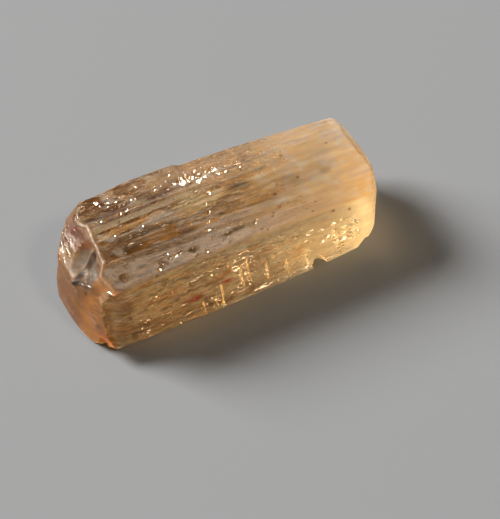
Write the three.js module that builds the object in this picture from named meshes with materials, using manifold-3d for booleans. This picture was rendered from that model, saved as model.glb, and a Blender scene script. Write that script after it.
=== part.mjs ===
// A rough topaz crystal: one striated rhombic prism, broken across its left end, water-worn
// at its right end and nicked in its lower front edge. It lies on one of its prism faces.
// Millimetres, +X along the prism, -Y the front, +Z up.
import * as THREE from 'three';
import { mergeVertices } from 'three/addons/utils/BufferGeometryUtils.js';
import Module from 'manifold-3d';

const wasm = await Module();
wasm.setup();

// ---- driving dimensions ----
// They are measured along the prism from the crest of the broken end, across it from its
// middle, and up from the ground. The last step moves the origin under the middle.

const originX = 9.97;
const originY = 0.05;

const stationLeft = 0;
const stationMiddle = 9;
const stationRight = 21;
const blankStart = -3.2; // the blank prism reaches past the break that is carved from it
const wornEnd = 22.02;
const wearRadius = 1.0; // rounding of the worn end's rim
const wearRings = 4;
const stationGap = 1.3;

// Section corners [y, z] at the three stations: front lower edge first, then over the top.
const corners = [
  { name: 'frontEdge', left: [-5.35, 1.2], middle: [-5.42, 1.2], right: [-4.4, 1.3] },
  { name: 'frontShoulder', left: [-4.4, 5.35], middle: [-4.0, 5.45], right: [-3.7, 5.1] },
  { name: 'troughFront', left: [-1.8, 5.9], middle: [-2.1, 5.95], right: [-2.3, 5.65] },
  { name: 'troughBack', left: [0.75, 6.1], middle: [1.25, 6.15], right: [1.45, 5.9] },
  { name: 'topRidge', left: [1.6, 6.2], middle: [2.15, 6.25], right: [2.35, 5.95] },
  { name: 'backEdge', left: [5.2, 4.85], middle: [5.35, 5.0], right: [4.95, 4.85] },
  { name: 'backFoot', left: [4.1, 0.8], middle: [3.95, 0.8], right: [3.7, 0.85] },
  { name: 'baseBack', left: [2.7, 0], middle: [2.6, 0], right: [2.4, 0] },
  { name: 'baseFront', left: [-3.5, 0], middle: [-2.9, 0], right: [-2.6, 0] },
];

// Growth steps of the face that follows each corner: strips side by side at uneven depths.
const faceRelief = {
  frontEdge: { strips: 9, depth: 0.15 }, // steep front face
  frontShoulder: { strips: 5, depth: 0.14 },
  troughFront: { strips: 8, depth: 0.24, sunk: 0.14 }, // the stepped trough along the top
  troughBack: { strips: 3, depth: 0.08 },
  topRidge: { strips: 8, depth: 0.2 }, // back slope
  backEdge: { strips: 9, depth: 0.18 },
  backFoot: { strips: 4, depth: 0.12 },
  baseBack: { strips: 1, depth: 0 }, // the flat that it rests on
  baseFront: { strips: 6, depth: 0.15 },
};
const riserShare = 0.14; // share of a strip that the step beside it takes
const stripUnevenness = 0.7; // how far a strip's edge strays, in strip widths
const strandLength = 4.3; // a strip keeps its depth for about this far along the prism
const reliefSeed = 7;
const wearStart = 13; // the growth steps wear away from here to the right
const reliefLeft = 0.35; // share of them that the wear leaves at the worn end

// A growth layer that thickens the back edge and stops in a small ledge.
const backLayer = { from: 2, full: 5.5, ledge: 8.7, ledgeEnd: 9.2, thickness: 0.28 };

// Each break face is what is cut off by x = at + alongY * y + alongZ * z. The planes of one
// entry cut only where they all do, so a second plane there bounds the first.
const leftBreak = [
  [{ at: -2.08, alongY: 0, alongZ: 0 }], // foot
  [{ at: -2.25, alongY: -0.27, alongZ: 0 }], // foot, front
  [{ at: -3.44, alongY: -0.424, alongZ: 0.232 }], // lump under the front part
  [{ at: -3.07, alongY: -0.424, alongZ: 0.232 }, { at: -27, alongY: -4.94, alongZ: 4.23 }], // front part
  [{ at: -3.42, alongY: 0.74, alongZ: 0 }], // back corner
  [{ at: -8.35, alongY: 1.15, alongZ: 0.75 }], // corner where the back edge meets the break
  [{ at: -4.9, alongY: 0, alongZ: 0.85 }, { at: 1.3, alongY: 0.69, alongZ: 0 }], // slope under the crest
];
const rightWear = [
  { at: 21.65, alongY: 0.38, alongZ: 0.04 }, // front corner
  { at: 24.75, alongY: 0, alongZ: -0.62 }, // top rim
  { at: 21.0, alongY: 0, alongZ: 0.55 }, // foot
];

// Hollows, each an ellipsoid [x, y, z] with radii [x, y, z] and a turn about the axis.
const hollows = [
  { centre: [-2.51, -0.5, 6.4], radii: [3.0, 1.8, 2.85], turn: 0 }, // conchoidal flake off the break
  { centre: [-1.2, 2.65, 5.65], radii: [0.9, 1.15, 1.1], turn: 0.5 }, // small flakes beside it
  { centre: [-0.85, 1.4, 5.85], radii: [0.8, 0.85, 0.9], turn: 0.2 },
  { centre: [-2.3, 1.3, 4.75], radii: [0.8, 1.0, 0.9], turn: -0.3 },
  { centre: [-0.85, -4.5, 0.75], radii: [0.5, 0.35, 0.5], turn: 0 }, // notch beside the lump
  { centre: [0.55, -3.5, 6.7], radii: [1.35, 1.1, 1.35], turn: 0 }, // flake off the front shoulder
  { centre: [15.4, -5.05, 1.1], radii: [0.52, 0.75, 1.0], turn: -0.35 }, // nick in the lower edge
];

// Rhombic etch pits on the upper faces: middle [x, y], half length and half width, depth.
const pits = [
  { at: [9.1, -3.0], half: [0.5, 0.16], depth: 0.16 },
  { at: [10.2, -2.8], half: [0.75, 0.18], depth: 0.2 },
  { at: [11.5, -2.75], half: [0.4, 0.15], depth: 0.16 },
  { at: [6.3, -3.25], half: [0.45, 0.2], depth: 0.2 },
  { at: [3.9, -3.5], half: [0.4, 0.18], depth: 0.16 },
  { at: [8.4, 3.0], half: [0.6, 0.3], depth: 0.18 },
  { at: [3.6, 2.6], half: [0.45, 0.22], depth: 0.16 },
  { at: [5.2, -0.2], half: [0.7, 0.16], depth: 0.15 },
  { at: [7.6, 0.6], half: [0.6, 0.14], depth: 0.14 },
];

const pitStandOff = 0.06; // growth steps lie about this far under a face's corners

// ---- helpers ----

// The same fraction for the same two numbers every time, 0 to 1.
function fraction(a, b) {
  const s = Math.sin(a * 127.1 + b * 311.7 + reliefSeed * 74.7) * 43758.5453;
  return s - Math.floor(s);
}

// Value at x on the parabola through the values at the three stations.
function alongPrism(x, left, middle, right) {
  const [l, m, r] = [x - stationLeft, x - stationMiddle, x - stationRight];
  const toMiddle = stationMiddle - stationLeft;
  const toRight = stationRight - stationMiddle;
  const whole = stationRight - stationLeft;
  return left * m * r / (toMiddle * whole) - middle * l * r / (toMiddle * toRight)
    + right * l * m / (whole * toRight);
}

function cornerAt(corner, x) {
  const [y, z] = [0, 1].map((i) => alongPrism(x, corner.left[i], corner.middle[i], corner.right[i]));
  if (corner.name !== 'backEdge') return new THREE.Vector2(y, z);
  const { from, full, ledge, ledgeEnd, thickness } = backLayer;
  const rise = THREE.MathUtils.smoothstep(x, from, full) - THREE.MathUtils.smoothstep(x, ledge, ledgeEnd);
  return new THREE.Vector2(y + thickness * rise, z);
}

// Depth of one strip of growth steps at x.
function stripDepth(face, strip, x) {
  const worn = 1 - (1 - reliefLeft) * THREE.MathUtils.smoothstep(x, wearStart, stationRight);
  const { depth, sunk = 0 } = faceRelief[corners[face].name];
  const key = face * 31 + strip;
  const strand = Math.floor(x / strandLength + fraction(key, 2));
  return worn * (sunk + depth * (0.5 * fraction(key, 1) + 0.5 * fraction(key, 3 + strand)));
}

// Share of a face's width at which a strip starts.
function stripStart(face, strip) {
  const { strips } = faceRelief[corners[face].name];
  return (strip + stripUnevenness * (fraction(face * 31 + strip, 5) - 0.5)) / strips;
}

// Closed outline of the section at x. A face's first and last strip keep its edges sharp.
function sectionAt(x) {
  const outline = [];
  corners.forEach((corner, face) => {
    const start = cornerAt(corner, x);
    const end = cornerAt(corners[(face + 1) % corners.length], x);
    const inward = new THREE.Vector2(end.y - start.y, start.x - end.x).normalize();
    const { strips } = faceRelief[corner.name];
    outline.push(start);
    for (let k = 1; k < strips - 1; k++) {
      const depth = stripDepth(face, k, x);
      const riser = riserShare / 2 / strips;
      for (const place of [stripStart(face, k) + riser, stripStart(face, k + 1) - riser]) {
        outline.push(start.clone().lerp(end, place).addScaledVector(inward, depth));
      }
    }
  });
  return outline;
}

// Height of the upper side at x and y, growth steps left out.
function topAt(x, y) {
  const over = corners.slice(0, 6).map((corner) => cornerAt(corner, x));
  const i = over.findIndex((p, k) => k > 0 && y <= p.x);
  const share = (y - over[i - 1].x) / (over[i].x - over[i - 1].x);
  return over[i - 1].clone().lerp(over[i], share).y;
}

// Rings with the same number of points, joined into one closed skin with a fan at each end.
function loft(rings) {
  const count = rings[0].length;
  const positions = rings.flat().flatMap((p) => [p.x, p.y, p.z]);
  const index = [];
  for (let r = 0; r + 1 < rings.length; r++) {
    for (let i = 0; i < count; i++) {
      const j = (i + 1) % count;
      const [a, b, c, d] = [r * count + i, r * count + j, (r + 1) * count + j, (r + 1) * count + i];
      index.push(a, c, b, a, d, c);
    }
  }
  for (const ring of [0, rings.length - 1]) {
    const centre = new THREE.Vector3();
    rings[ring].forEach((p) => centre.addScaledVector(p, 1 / count));
    const tip = positions.length / 3;
    positions.push(centre.x, centre.y, centre.z);
    for (let i = 0; i < count; i++) {
      const edge = [ring * count + i, ring * count + (i + 1) % count];
      index.push(...(ring === 0 ? edge : edge.reverse()), tip);
    }
  }
  const geometry = new THREE.BufferGeometry();
  geometry.setAttribute('position', new THREE.Float32BufferAttribute(positions, 3));
  geometry.setIndex(index);
  return geometry;
}

// The prism before the break: whole section on the left, rounded rim at the worn end.
function blankPrism() {
  const straightEnd = wornEnd - wearRadius;
  const steps = Math.round((straightEnd - blankStart) / stationGap);
  const stations = [backLayer.ledge, backLayer.ledgeEnd];
  for (let s = 0; s <= steps; s++) stations.push(THREE.MathUtils.lerp(blankStart, straightEnd, s / steps));
  stations.sort((a, b) => a - b);
  const rings = stations.map((x) => sectionAt(x).map((p) => new THREE.Vector3(x, p.x, p.y)));
  const rim = sectionAt(straightEnd);
  const middle = new THREE.Vector2();
  rim.forEach((p) => middle.addScaledVector(p, 1 / rim.length));
  for (let w = 1; w <= wearRings; w++) {
    const angle = w / wearRings * Math.PI / 2;
    const inset = wearRadius * (1 - Math.cos(angle));
    const x = straightEnd + wearRadius * Math.sin(angle);
    rings.push(rim.map((p) => {
      const q = p.clone().lerp(middle, inset / p.distanceTo(middle));
      return new THREE.Vector3(x, q.x, q.y);
    }));
  }
  return loft(rings);
}

function solidOf(geometry) {
  geometry.deleteAttribute('normal');
  geometry.deleteAttribute('uv');
  const merged = mergeVertices(geometry, 1e-5);
  return new wasm.Manifold(new wasm.Mesh({
    numProp: 3,
    vertProperties: new Float32Array(merged.attributes.position.array),
    triVerts: new Uint32Array(merged.index.array),
  }));
}

function geometryOf(solid) {
  const { vertProperties, triVerts } = solid.getMesh();
  const geometry = new THREE.BufferGeometry();
  geometry.setAttribute('position', new THREE.BufferAttribute(vertProperties, 3));
  geometry.setIndex(new THREE.BufferAttribute(triVerts, 1));
  return geometry;
}

// The space left (side -1) or right (side 1) of a plane, as a block.
function beyond({ at, alongY, alongZ }, side) {
  const size = 50;
  const outward = new THREE.Vector3(1, -alongY, -alongZ).multiplyScalar(side).normalize();
  const turn = new THREE.Quaternion().setFromUnitVectors(new THREE.Vector3(0, 0, 1), outward);
  const block = new THREE.BoxGeometry(size, size, size).translate(0, 0, size / 2);
  return solidOf(block.applyQuaternion(turn).translate(at, 0, 0));
}

function hollow({ centre, radii, turn }) {
  const ball = new THREE.SphereGeometry(1, 28, 20).scale(...radii).rotateX(turn);
  return solidOf(ball.translate(...centre));
}

function pit({ at: [x, y], half: [halfLength, halfWidth], depth }) {
  const rhomb = new THREE.OctahedronGeometry(1).scale(halfLength, halfWidth, depth + pitStandOff);
  return solidOf(rhomb.translate(x, y, topAt(x, y)));
}

// ---- the crystal ----

let solid = solidOf(blankPrism());
for (const planes of leftBreak) {
  const blocks = planes.map((plane) => beyond(plane, -1));
  solid = solid.subtract(blocks.reduce((both, block) => both.intersect(block)));
}
for (const plane of rightWear) solid = solid.subtract(beyond(plane, 1));
for (const shape of hollows) solid = solid.subtract(hollow(shape));
for (const shape of pits) solid = solid.subtract(pit(shape));

const material = new THREE.MeshStandardMaterial({ color: 0xc98f4e, roughness: 0.3, metalness: 0 });
const crystal = new THREE.Mesh(geometryOf(solid).translate(-originX, -originY, 0), material);
crystal.name = 'topaz_crystal';

const group = new THREE.Group();
group.add(crystal);
export default group;
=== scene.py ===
import math

import bpy
import numpy as np
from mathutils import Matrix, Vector


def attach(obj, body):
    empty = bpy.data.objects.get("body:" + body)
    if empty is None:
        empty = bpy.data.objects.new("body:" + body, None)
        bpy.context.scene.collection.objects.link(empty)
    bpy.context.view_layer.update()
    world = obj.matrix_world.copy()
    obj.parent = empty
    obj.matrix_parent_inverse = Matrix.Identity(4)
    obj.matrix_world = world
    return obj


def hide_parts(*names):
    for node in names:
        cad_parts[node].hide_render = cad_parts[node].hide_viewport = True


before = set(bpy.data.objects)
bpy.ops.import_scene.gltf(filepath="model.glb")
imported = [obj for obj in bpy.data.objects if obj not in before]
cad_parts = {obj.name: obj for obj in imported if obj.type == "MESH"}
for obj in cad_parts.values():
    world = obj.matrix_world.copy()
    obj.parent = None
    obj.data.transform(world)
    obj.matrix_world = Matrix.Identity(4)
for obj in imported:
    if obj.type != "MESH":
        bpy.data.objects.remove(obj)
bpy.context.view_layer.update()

mm = 0.001

# the crystal, in mm: x from the crest of the break, y from its middle line, z from the ground
prism = {
    "origin": (9.97, 0.05),  # what the part's own origin lies at
    "stations": (0, 9, 21),  # x of the three sections that the prism runs through
    # corners (y, z) at the three stations, front lower edge first and over the top
    "corners": [
        ((-5.62, 1.2), (-5.47, 1.2), (-4.55, 1.3)),
        ((-4.4, 5.35), (-4.0, 5.45), (-3.7, 5.1)),
        ((-1.8, 5.9), (-2.1, 5.95), (-2.3, 5.65)),
        ((0.75, 6.1), (1.25, 6.15), (1.45, 5.9)),
        ((1.6, 6.2), (2.15, 6.25), (2.35, 5.95)),
        ((5.2, 4.85), (5.3, 5.0), (4.95, 4.85)),
        ((4.1, 0.8), (3.95, 0.8), (3.7, 0.85)),
        ((2.7, 0), (2.6, 0), (2.4, 0)),
        ((-3.25, 0), (-2.9, 0), (-2.6, 0)),
    ],
    # growth steps of the face after each corner: strips, depth, how far the face is sunk
    "steps": [
        (9, 0.15, 0), (5, 0.1, 0), (8, 0.14, 0.04), (3, 0.05, 0), (8, 0.12, 0),
        (9, 0.18, 0), (4, 0.12, 0), (1, 0, 0), (6, 0.15, 0),
    ],
    "backEdge": 5,  # the corner between the back slope and the back
    "baseFace": 7,
    "riserShare": 0.4,  # how much of a step's width is its slanting side
    "unevenness": 0.7,  # of the steps' widths
    "strandLength": 4.3,  # over which a step keeps its depth
    "seed": 7,
    "wearStart": 13,
    "reliefLeft": 0.35,  # of the steps at the worn end
    "reliefAtBreak": (0.25, 1.2),  # share of the steps at its rim, mm from it where they are full
    "backLayer": (2, 5.5, 8.7, 9.2, 0.28),  # x from, full, ledge, ledge's end, and its thickness
    "wornEnd": 22.02,
    "wearRadius": 0.85,
}

# the faces in the order of their corners; the back and the three faces below come after these
frontFace, sheenFace, trough, strip, backSlope = range(5)

brokenEnd = {
    # planes x = at + alongY * y + alongZ * z; a group cuts where all its planes do
    "planes": [
        [(-1.85, 0, 0)],
        [(-2.6, -0.37, 0)],
        [(-3.12, -0.3, 0.32)],
        [(-3.55, 0.74, 0)],
        [(-7.03, 0.5, 1.0)],
        [(-9.58, 1.05, 1.11)],
        [(-4.9, 0, 0.85), (1.3, 0.69, 0)],
    ],
    "planeSoft": (0.15, 0.6, 1.8, 3.8),  # blend high up, how much more low down, z between
    "hollows": [  # centre, radii
        ((-2.6, -0.2, 6.4), (2.85, 2.1, 2.8)),
        ((-2.3, 1.4, 4.75), (0.45, 1.0, 0.9)),
        ((-0.85, -4.45, 0.75), (0.35, 0.4, 0.5)),
    ],
    "hollowSoft": 0.2,
    "ridge": ((-0.1, 5.7), (-0.7, 3.4)),  # from and to (y, z)
    "ridgeHeight": 0.3,
    "ridgeHalf": 0.4,
    "ridgeFoot": (3.2, 3.8),
    "ridgeTop": (5.3, 5.8),
    "lump": (3.2, 1),  # z from which it swells, and z at which it is full
    "lumpSwell": 0.35,
}
wornEnd = {
    # planes as above, and the crystal ends at the nearest of them
    "planes": [(21.7, 0.36, 0.06), (24.95, 0, -0.62), (20.1, 0, 0.75), (22.25, 0.9, 0.94)],
    "soft": 0.5,
}
# hollows of the sides: centre, radii, axis that they are pressed in along, way
sideHollows = [
    ((0.95, -3.55, 6.35), (0.85, 0.7, 0.9), 2, -1),
    ((15.37, -5.05, 0.35), (0.68, 1.15, 1.75), 1, 1),
]
# pits of the upper faces: middle (x, y), half length and width, depth
pits = [
    ((9.1, -3.0), (0.5, 0.16), 0.16), ((10.2, -2.8), (0.75, 0.18), 0.2),
    ((11.5, -2.75), (0.4, 0.15), 0.16), ((6.3, -3.25), (0.45, 0.2), 0.2),
    ((3.9, -3.5), (0.4, 0.18), 0.16), ((8.4, 3.0), (0.6, 0.3), 0.18), ((3.6, 2.6), (0.45, 0.22), 0.16),
    ((5.2, -0.2), (0.7, 0.16), 0.15), ((7.6, 0.6), (0.6, 0.14), 0.14),
]
# flakes split off the upper faces, all facing nearly the same way: x, y, half length, half width
flakes = [
    (8.35, 2.95, 0.51, 0.84), (8.85, 3.3, 0.31, 0.48), (9.3, 3.35, 0.27, 0.4), (9.8, 3.5, 0.31, 0.36),
    (10.25, 3.3, 0.17, 0.36), (10.5, 2.9, 0.22, 0.24), (11, 3.25, 0.17, 0.28), (11.45, 2.2, 0.22, 0.24),
    (12.65, 2.8, 0.17, 0.26), (12.6, 2.15, 0.19, 0.2), (3.05, 1.7, 0.26, 0.14), (3.5, 1.8, 0.34, 0.13),
    (3.95, 1.95, 0.2, 0.2), (4.45, 2.9, 0.22, 0.34), (2.8, 3.8, 0.12, 0.18), (5.35, 4.5, 0.17, 0.28),
    (8, 4.5, 0.17, 0.28), (1.45, 1.6, 0.2, 0.1), (3.75, -3.2, 0.18, 0.11), (4.6, -3.2, 0.22, 0.1),
    (5, -3.2, 0.18, 0.13), (5.4, -3.1, 0.18, 0.1), (8.55, -3.35, 0.22, 0.11), (9.05, -3.15, 0.2, 0.14),
    (10.95, -3, 0.22, 0.1), (11.35, -2.9, 0.22, 0.14), (13, -2.56, 0.2, 0.09), (13.6, -2.4, 0.22, 0.14),
    (14.1, -2.4, 0.22, 0.1), (1.5, -2.6, 0.2, 0.1), (9.5, 0.85, 0.2, 0.1), (6.3, 3, 0.19, 0.2),
    (7.2, -1.1, 0.18, 0.09), (14.8, 3.1, 0.15, 0.24), (9, 4.1, 0.17, 0.24), (7, 2.6, 0.2, 0.2),
]
# which way the flakes and the upper faces' splits face, and the front face's splits
flakeFacing = (-0.54, 0.04, 0.84)
frontFacing = (0.01, -0.61, 0.79)
# stretches full of smaller splits: face, x from and to, share of its width from and to, how many,
# half length, half width
splits = [
    (backSlope, 1.5, 7.5, 0.05, 0.8, 16, 0.14, 0.22), (backSlope, 7.5, 13.5, 0.03, 0.45, 34, 0.2, 0.3),
    (strip, 2, 14, 0.1, 0.9, 5, 0.24, 0.1), (trough, 0.5, 12, 0.05, 0.95, 18, 0.26, 0.1),
    (sheenFace, 3, 14, 0.02, 0.3, 7, 0.26, 0.11), (sheenFace, 3, 14, 0.6, 1, 5, 0.24, 0.1),
    (frontFace, 0.5, 9, 0.02, 0.35, 24, 0.3, 0.11), (frontFace, 1, 8, 0.5, 0.95, 26, 0.28, 0.11),
    (frontFace, 8.95, 10.5, 0.2, 0.8, 50, 0.26, 0.13),
    (frontFace, 10.7, 15.5, 0.05, 0.9, 24, 0.24, 0.12),
    (frontFace, 15.8, 18.2, 0.3, 0.7, 26, 0.24, 0.13),
    (frontFace, 18.3, 19.4, 0.2, 0.7, 14, 0.16, 0.16),
]
# stacks of short ledges on the front face: x, z, half length, how many, distance between them
ledges = [
    (9.9, 2.75, 0.42, 6, 0.27), (9.1, 2.2, 0.3, 3, 0.24), (17.2, 2.1, 0.42, 5, 0.26),
    (18.3, 2.7, 0.4, 3, 0.28), (13.6, 1.52, 6.2, 1, 0.2), (14.3, 2.3, 0.3, 3, 0.26),
    (12.4, 3.2, 0.35, 3, 0.3), (5.2, 3.9, 0.3, 2, 0.3), (1.7, 2.0, 0.35, 3, 0.3),
]
ledgeShape = (0.14, 0.09, 0.07)  # height of the part that cuts in, its depth, height of the part back out
# cleavage cracks across the prism: x, how far up the front face (share), half height, depth
cracks = [
    (2.3, 0.75, 0.08, 0.6), (3.6, 0.2, 0.1, 0.6), (6.11, 0.1, 0.12, 1.0), (7.13, 0.13, 0.16, 1.0),
    (7.65, 0.18, 0.22, 1.0), (8.37, 0.7, 0.05, 0.5), (9.3, 0.36, 0.2, 1.3), (9.9, 0.42, 0.24, 1.3),
    (11.3, 0.3, 0.22, 1.0), (12.9, 0.25, 0.18, 0.9), (14.5, 0.2, 0.2, 1.0), (17.0, 0.4, 0.22, 1.2),
    (17.9, 0.46, 0.22, 1.2), (18.7, 0.36, 0.2, 1.0),
]

mesh = {
    "aroundStep": 0.07,  # mm between points round the prism
    "alongStep": 0.125,  # mm between rows
    "hiddenFaces": (6, 7),
    "hiddenCoarser": 2.5,  # so many times the step round them
    "blankStart": -2,  # x of the first row before it is fitted to the break
    "endPasses": 4,  # how often the sides are fitted to the ends
    "frontBlunt": (1.0, 1.7),  # how far the blunt rim reaches at the front, least and most
    "frontLow": (1.6, 3.6),  # z over which it grows
    "frontHigh": (4.1, 4.9),  # z over which it shrinks again
    "crestBlunt": 0.14,  # and how far it reaches on the other faces
    "bluntInset": (0.8, 0.45),  # its depth by its reach, and the same at the front
    "frontTaper": 0.3,  # extra slant of the front's rim
    "rimRounding": 0.4,  # of the worn end's rim
    "sectionInset": 0.8,  # share of the wear radius that the worn end draws in
    "cornerPasses": (1, 14, 3, 3, 3, 3, 2, 1, 1),  # how often each corner is smoothed
    "breakReach": 5,  # how far from the break the rows still follow it
    "wearReach": 4,  # and the same at the worn end
    "rimRows": (0.012, 0.03, 0.055, 0.085, 0.12),  # mm from the rim of the break
    "hollowRows": (-0.98, -0.9, 0.9, 0.98),  # shares of a side hollow's half length
    "rimRings": 8,  # over the worn end's rounding
    "leftRings": 36,
    "calmRings": 9,  # the break's relief grows over these from its rim
    "calmRows": 4,  # and the striae over these
    "rightRings": 12,
    "crackWidth": 0.035,  # half of it, at the surface
    "crackClear": 2.5,  # no other row within this many widths
    "raggedGrain": (0.15, 0.16),  # of the outlines of flakes and splits, mm
    "ragged": (0.5, 1.4),  # least, how much more
    "flakeBite": 0.45,  # how deep a flake's plane lies, by its half length
    "splitBite": 0.2,  # and a split's, by its half width
    "shineRise": 4,  # how fast a ledge or crack turns fresh as it deepens
    "flakeSpread": (0.16, 0.24),  # how much their facing varies
    "splitSpread": (0.35, 0.04),  # on the upper faces, and on the front face
}


def fraction(a, b):
    s = math.sin(a * 127.1 + b * 311.7 + prism["seed"] * 74.7) * 43758.5453
    return s - math.floor(s)


def smoothstep(x, low, high):
    t = np.clip((x - low) / (high - low), 0, 1)
    return t * t * (3 - 2 * t)


# smooth noise from 0 to 1 with one knot per unit
def valueNoise(u, v, seed):
    iu, iv = np.floor(u), np.floor(v)
    fu, fv = smoothstep(u - iu, 0, 1), smoothstep(v - iv, 0, 1)

    def knot(a, b):
        s = np.sin(a * 12.9 + b * 78.2 + seed * 37.7) * 43758.5453
        return s - np.floor(s)

    low = knot(iu, iv) + (knot(iu + 1, iv) - knot(iu, iv)) * fu
    high = knot(iu, iv + 1) + (knot(iu + 1, iv + 1) - knot(iu, iv + 1)) * fu
    return low + (high - low) * fv


def smoothMax(a, b, soft):
    h = np.maximum(soft - np.abs(a - b), 0) / soft
    return np.maximum(a, b) + h * h * soft / 4


def alongPrism(x, values):
    s0, s1, s2 = prism["stations"]
    a, b, c = x - s0, x - s1, x - s2
    left, middle, right = values
    return (left * b * c / ((s1 - s0) * (s2 - s0)) - middle * a * c / ((s1 - s0) * (s2 - s1))
            + right * a * b / ((s2 - s0) * (s2 - s1)))


def cornerAt(index, x):
    places = prism["corners"][index]
    y = alongPrism(x, [p[0] for p in places])
    z = alongPrism(x, [p[1] for p in places])
    if index == prism["backEdge"]:
        start, full, ledge, ledgeEnd, thickness = prism["backLayer"]
        y = y + thickness * (smoothstep(x, start, full) - smoothstep(x, ledge, ledgeEnd))
    return y, z


# depth of the growth steps of one face at x, for the shares of the face's width
def stepDepth(face, x, share):
    strips, depth, sunk = prism["steps"][face]
    if strips < 3:
        return np.zeros_like(share)
    riser = prism["riserShare"] / 2 / strips
    starts = [(k + prism["unevenness"] * (fraction(face * 31 + k, 5) - 0.5)) / strips
              for k in range(strips)]
    places, depths = [0.0], [0.0]
    for k in range(1, strips - 1):
        key = face * 31 + k
        strand, t = divmod(x / prism["strandLength"] + fraction(key, 2), 1)
        here, there = fraction(key, 3 + strand), fraction(key, 4 + strand)
        own = here + (there - here) * float(smoothstep(t, 0.85, 1))
        d = sunk + depth * (0.5 * fraction(key, 1) + 0.5 * own)
        places += [starts[k] + riser, starts[k + 1] - riser]
        depths += [d, d]
    return np.interp(share, places + [1.0], depths + [0.0])


# 0 at the fresh part, 1 at the worn end
def wornShare(x):
    return smoothstep(x, prism["wearStart"], prism["stations"][2])


# x of the broken end's surface
def leftEnd(y, z):
    x = np.full_like(y, -9.0)
    high, more, low, full = brokenEnd["planeSoft"]
    soft = high + more * (1 - smoothstep(z, low, full))
    for group in brokenEnd["planes"]:
        cut = np.min([at + ay * y + az * z for at, ay, az in group], axis=0)
        x = smoothMax(x, cut, soft)
    for (cx, cy, cz), (rx, ry, rz) in brokenEnd["hollows"]:
        inside = 1 - ((y - cy) / ry) ** 2 - ((z - cz) / rz) ** 2
        hollow = np.where(inside > 0, cx + rx * np.sqrt(np.maximum(inside, 0)), -9)
        x = smoothMax(x, hollow, brokenEnd["hollowSoft"])
    (y0, z0), (y1, z1) = brokenEnd["ridge"]
    beside = np.abs((y - y0) * (z1 - z0) - (z - z0) * (y1 - y0)) / math.hypot(y1 - y0, z1 - z0)
    roof = brokenEnd["ridgeHeight"] * np.clip(1 - beside / brokenEnd["ridgeHalf"], 0, 1)
    x = x - roof * smoothstep(z, *brokenEnd["ridgeFoot"]) * (1 - smoothstep(z, *brokenEnd["ridgeTop"]))
    swell, full = brokenEnd["lump"]
    return x - brokenEnd["lumpSwell"] * smoothstep(-z, -swell, -full)


def rightEnd(y, z):
    x = np.full_like(y, prism["wornEnd"])
    for at, ay, az in wornEnd["planes"]:
        x = -smoothMax(-x, -(at + ay * y + az * z), wornEnd["soft"])
    return x


# points round the prism: the face each is on, its share of the face's width, mm round from the base
def aroundPoints():
    faces, shares, places = [], [], []
    run = 0
    count = len(prism["corners"])
    for face in range(count):
        (y0, z0), (y1, z1) = (prism["corners"][i % count][1] for i in (face, face + 1))
        width = math.hypot(y1 - y0, z1 - z0)
        coarser = mesh["hiddenCoarser"] if face in mesh["hiddenFaces"] else 1
        steps = round(width / mesh["aroundStep"] / coarser)
        if face == prism["baseFace"]:
            seam = run
        for k in range(steps):
            faces.append(face)
            shares.append(k / steps)
            places.append(run + width * k / steps)
        run += width
    return np.array(faces), np.array(shares), (np.array(places) - seam) % run


# where the rows stand along the prism, closer at the ends, the hollows and the cracks
def rowPlaces():
    straight = prism["wornEnd"] - prism["wearRadius"]
    start = mesh["blankStart"]
    rows = list(np.linspace(start, straight, round((straight - start) / mesh["alongStep"])))
    rows += [start + step for step in mesh["rimRows"]]
    middles = []
    for centre, radii, *rest in sideHollows:
        rows += [centre[0] + side * radii[0] for side in mesh["hollowRows"]]
    for at, *rest in cracks:
        rows = [r for r in rows if abs(r - at) > mesh["crackClear"] * mesh["crackWidth"]]
        rows += [at - mesh["crackWidth"], at, at + mesh["crackWidth"]]
        middles.append(at)
    bend = np.sin(np.linspace(0, math.pi / 2, mesh["rimRings"] + 1))[1:]
    rows += list(straight + prism["wearRadius"] * bend)
    rows = np.array(sorted(rows))
    return rows, [int(np.argmin(np.abs(rows - at))) for at in middles]


# every face of the prism with its growth steps, and the way into the crystal from it
def layFaces(x, y, z, inwardY, inwardZ, faces, shares):
    count = len(prism["corners"])
    for face in range(count):
        on = faces == face
        fx = x[:, on]
        (y0, z0), (y1, z1) = cornerAt(face, fx), cornerAt((face + 1) % count, fx)
        ny, nz = z1 - z0, y0 - y1
        size = np.hypot(ny, nz)
        ny, nz = ny / size, nz / size
        depth = np.array([stepDepth(face, float(row.mean()), shares[on]) for row in fx])
        depth *= 1 - (1 - prism["reliefLeft"]) * wornShare(fx)
        least, full = prism["reliefAtBreak"]
        depth *= least + (1 - least) * smoothstep(fx - leftEnd(y[:, on], z[:, on]), 0, full)
        y[:, on] = y0 + (y1 - y0) * shares[on] + ny * depth
        z[:, on] = z0 + (z1 - z0) * shares[on] + nz * depth
        inwardY[:, on], inwardZ[:, on] = ny, nz


# the long edges are rounded by averaging the points beside them
def smoothCorners(y, z, shares):
    count = len(shares)
    for corner, passes in zip(np.flatnonzero(shares == 0), mesh["cornerPasses"]):
        span = np.arange(corner - passes, corner + passes + 1)
        for turn in range(passes):
            for part in (y, z):
                sums = [part[:, (span + side) % count] for side in (-1, 0, 1)]
                part[:, span % count] = sum(sums) / 3


# the section draws in towards its middle over the worn end's rounding, and a little at its rim
def roundWornEnd(x, y, z):
    radius = prism["wearRadius"]
    bend = np.clip((x - prism["wornEnd"] + radius) / radius, 0, 1)
    rim = np.clip(1 - (rightEnd(y, z) - x) / mesh["rimRounding"], 0, 1)
    inset = radius * (1 - np.sqrt(1 - bend ** 2)) * mesh["sectionInset"]
    inset = inset + mesh["rimRounding"] * (1 - np.sqrt(1 - rim ** 2))
    middleY, middleZ = y.mean(axis=1, keepdims=True), z.mean(axis=1, keepdims=True)
    reach = np.hypot(y - middleY, z - middleZ)
    y += (middleY - y) * inset / reach
    z += (middleZ - z) * inset / reach


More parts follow.
